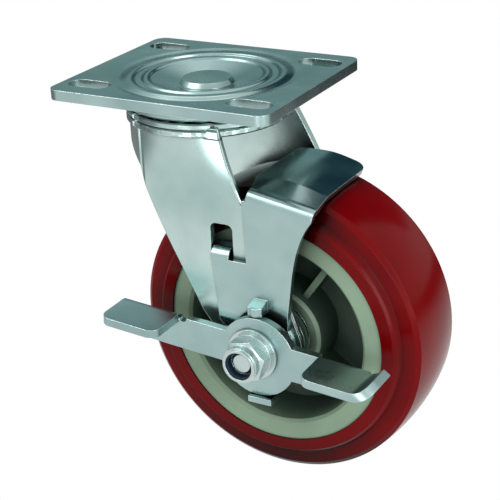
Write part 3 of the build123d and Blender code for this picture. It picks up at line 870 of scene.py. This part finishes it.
class CASTOR_OT_stage(bpy.types.Operator):
    """Set the floor, the lamps, the world and the camera"""

    bl_idname = "castor.stage"
    bl_label = "Stage"

    def execute(self, context):
        stage, colours = context.scene.castor_stage, context.scene.castor_colours
        self.lay_floor(colours.floor)
        self.light_world()
        aim = Vector(stage.target)
        for name, place, size, power in LAMPS:
            self.hang_lamp(name, place, aim, size, getattr(stage, power))
        self.hang_flag()
        self.set_camera(context, stage)
        context.scene.view_settings.view_transform = "Standard"
        return {"FINISHED"}

    def lay_floor(self, colour):
        """A grey floor that takes light from the lamps but looks plain white to the camera, and
        shines white in the steel's reflections with a painted falloff.
        """
        shape = bmesh.new()
        bmesh.ops.create_circle(shape, cap_ends=True, segments=64, radius=FLOOR_RADIUS)
        floor = self.place_mesh("studio_floor", shape)
        floor.location.z = FLOOR_Z - FLOOR_GAP
        material, tree, output = new_material("matt_floor")
        place = add_node(tree, "ShaderNodeTexCoord").outputs["Object"]
        roughness = mottled(tree, place, FLOOR_GRAIN, detail=2.0, low=0.4, high=0.6)
        matt = add_node(
            tree, "ShaderNodeBsdfDiffuse", {"Color": linear(colour), "Roughness": roughness}
        )
        # Painted reflection: the light the steel sees in the floor is painted to fall off at the
        # left and behind
        axes = add_node(tree, "ShaderNodeSeparateXYZ", {"Vector": place}).outputs
        parts = {
            0: product(tree, axes["X"], FLOOR_RIGHT[0]),
            1: product(tree, axes["Y"], FLOOR_RIGHT[1]),
        }
        rightwards = add_node(tree, "ShaderNodeMath", parts, operation="ADD").outputs[0]
        left, back = (
            add_node(
                tree, "ShaderNodeMapRange", inputs, interpolation_type="SMOOTHSTEP"
            ).outputs["Result"]
            for inputs in (
                span(rightwards, *FLOOR_LEFT_FADE, FLOOR_LEFT_LEAST, 1.0),
                span(axes["Y"], *FLOOR_BACK_FADE, 1.0, FLOOR_BACK_LEAST),
            )
        )
        rays = add_node(tree, "ShaderNodeLightPath").outputs
        seen = rays["Is Camera Ray"]
        glow = add_node(
            tree, "ShaderNodeMath", {0: seen, 1: product(tree, left, back)}, operation="MAXIMUM"
        ).outputs[0]
        for ray in ("Is Glossy Ray", "Is Transmission Ray"):
            seen = add_node(
                tree, "ShaderNodeMath", {0: seen, 1: rays[ray]}, operation="MAXIMUM"
            ).outputs[0]
        white = add_node(tree, "ShaderNodeEmission", {"Color": WHITE, "Strength": glow})
        both = add_node(
            tree, "ShaderNodeMixShader", {0: seen, 1: matt.outputs[0], 2: white.outputs[0]}
        )
        finish_material(tree, output, both)
        floor.data.materials.append(material)

    def light_world(self):
        """White to the camera. On the object white cloth in front, and behind it a dark sweep
        under grey-green walls and a bright ceiling."""
        world = bpy.data.worlds.new("studio")
        bpy.context.scene.world = world
        world.use_nodes = True
        tree = world.node_tree
        tree.nodes.clear()
        way = add_node(tree, "ShaderNodeTexCoord").outputs["Generated"]
        axes = add_node(tree, "ShaderNodeSeparateXYZ", {"Vector": way}).outputs
        height = add_node(tree, "ShaderNodeMapRange", span(axes["Z"], -1.0, 1.0)).outputs["Result"]
        ramp = add_node(tree, "ShaderNodeValToRGB", {"Fac": height})
        stops = ramp.color_ramp.elements
        for stop, (position, colour) in zip(stops, (SKY[0], SKY[-1])):
            stop.position, stop.color = position, (*colour, 1)
        for position, colour in SKY[1:-1]:
            stops.new(position).color = (*colour, 1)
        right, behind = (
            add_node(
                tree, "ShaderNodeMapRange", span(value, *edge), interpolation_type="SMOOTHSTEP"
            ).outputs["Result"]
            for value, edge in ((axes["X"], RIGHT_START), (axes["Y"], BACK_START))
        )
        # The sweep is darkest behind the castor's left
        sweep = add_node(
            tree,
            "ShaderNodeMix",
            {
                "Factor": product(tree, right, RIGHT_CLOTH),
                "A": ramp.outputs["Color"],
                "B": FRONT_CLOTH,
            },
            data_type="RGBA",
        ).outputs["Result"]
        round_about = add_node(
            tree,
            "ShaderNodeMix",
            {"Factor": behind, "A": FRONT_CLOTH, "B": sweep},
            data_type="RGBA",
        ).outputs["Result"]
        rays = add_node(tree, "ShaderNodeLightPath").outputs["Is Camera Ray"]
        studio = add_node(tree, "ShaderNodeBackground", {"Color": round_about, "Strength": 1.0})
        backdrop = add_node(tree, "ShaderNodeBackground", {"Color": WHITE, "Strength": 1.0})
        both = add_node(
            tree, "ShaderNodeMixShader", {0: rays, 1: studio.outputs[0], 2: backdrop.outputs[0]}
        )
        add_node(tree, "ShaderNodeOutputWorld", {"Surface": both.outputs[0]})

    def hang_flag(self):
        """A dim blue-green card high behind the castor, which the steel reflects. It shines with
        painted light of its own rather than being lit by the lamps.
        """
        # A square with sides of 1 m, then scaled
        shape = bmesh.new()
        bmesh.ops.create_grid(shape, x_segments=1, y_segments=1, size=0.5)
        bmesh.ops.scale(shape, vec=FLAG_SIZE, verts=shape.verts)
        flag = self.place_mesh("dim_flag", shape)
        flag.location = FLAG_PLACE
        flag.rotation_euler = (FLAG_AIM - FLAG_PLACE).to_track_quat("-Z", "Y").to_euler()
        material, tree, output = new_material("dim_card")
        card = add_node(tree, "ShaderNodeEmission", {"Color": FLAG_GLOW, "Strength": 1.0})
        finish_material(tree, output, card)
        flag.data.materials.append(material)

    def place_mesh(self, name, shape):
        """An object in the scene that holds a shape."""
        mesh = bpy.data.meshes.new(name)
        shape.to_mesh(mesh)
        shape.free()
        made = bpy.data.objects.new(name, mesh)
        bpy.context.scene.collection.objects.link(made)
        return made

    def hang_lamp(self, name, place, aim, size, power):
        """A soft box that faces the castor."""
        light = bpy.data.lights.new(name, "AREA")
        light.shape = "RECTANGLE"
        light.size, light.size_y = size
        light.energy = power
        lamp = bpy.data.objects.new(name, light)
        lamp.location = place
        lamp.rotation_euler = (aim - Vector(place)).to_track_quat("-Z", "Y").to_euler()
        bpy.context.scene.collection.objects.link(lamp)

    def set_camera(self, context, stage):
        """The camera, turned about its target by yaw, pitch and roll."""
        yaw, pitch, roll = stage.yaw, stage.pitch, stage.roll
        back = Vector(
            (math.sin(yaw) * math.cos(pitch), -math.cos(yaw) * math.cos(pitch), math.sin(pitch))
        )
        level = Vector((math.cos(yaw), math.sin(yaw), 0))
        rise = back.cross(level)
        right = math.cos(roll) * level + math.sin(roll) * rise
        up = math.cos(roll) * rise - math.sin(roll) * level
        place = Vector(stage.target) + back * stage.distance
        lens = bpy.data.cameras.new("camera")
        lens.sensor_width = SENSOR
        lens.lens = stage.focal_px / IMAGE_SIDE * SENSOR
        lens.clip_start = 10 * MM
        camera = bpy.data.objects.new("camera", lens)
        turn = Matrix((right, up, back)).transposed().to_4x4()
        camera.matrix_world = Matrix.Translation(place) @ turn
        context.scene.collection.objects.link(camera)
        context.scene.camera = camera


class CASTOR_PT_panel(bpy.types.Panel):
    """Lists the castor's operators, sizes and colours"""

    bl_idname = "CASTOR_PT_panel"
    bl_label = "Castor"
    bl_space_type = "VIEW_3D"
    bl_region_type = "UI"
    bl_category = "Castor"

    def draw(self, context):
        for operator in OPERATORS:
            self.layout.operator(operator.bl_idname)
        for group in ("castor_sizes", "castor_colours", "castor_stage"):
            settings = getattr(context.scene, group)
            column = self.layout.box().column()
            for name in settings.__annotations__:
                column.prop(settings, name)


GROUPS = (CastorSizes, CastorColours, CastorStage)
OPERATORS = (
    CASTOR_OT_pressed_steel,
    CASTOR_OT_brake,
    CASTOR_OT_wheel,
    CASTOR_OT_bearings,
    CASTOR_OT_axle,
    CASTOR_OT_stage,
)


def register():
    for kind in GROUPS + OPERATORS + (CASTOR_PT_panel,):
        bpy.utils.register_class(kind)
    bpy.types.Scene.castor_sizes = bpy.props.PointerProperty(type=CastorSizes)
    bpy.types.Scene.castor_colours = bpy.props.PointerProperty(type=CastorColours)
    bpy.types.Scene.castor_stage = bpy.props.PointerProperty(type=CastorStage)


def unregister():
    del bpy.types.Scene.castor_stage
    del bpy.types.Scene.castor_colours
    del bpy.types.Scene.castor_sizes
    for kind in reversed(GROUPS + OPERATORS + (CASTOR_PT_panel,)):
        bpy.utils.unregister_class(kind)


def main():
    register()
    for operator in OPERATORS:
        group, name = operator.bl_idname.split(".")
        getattr(getattr(bpy.ops, group), name)()


if __name__ == "__main__":
    main()
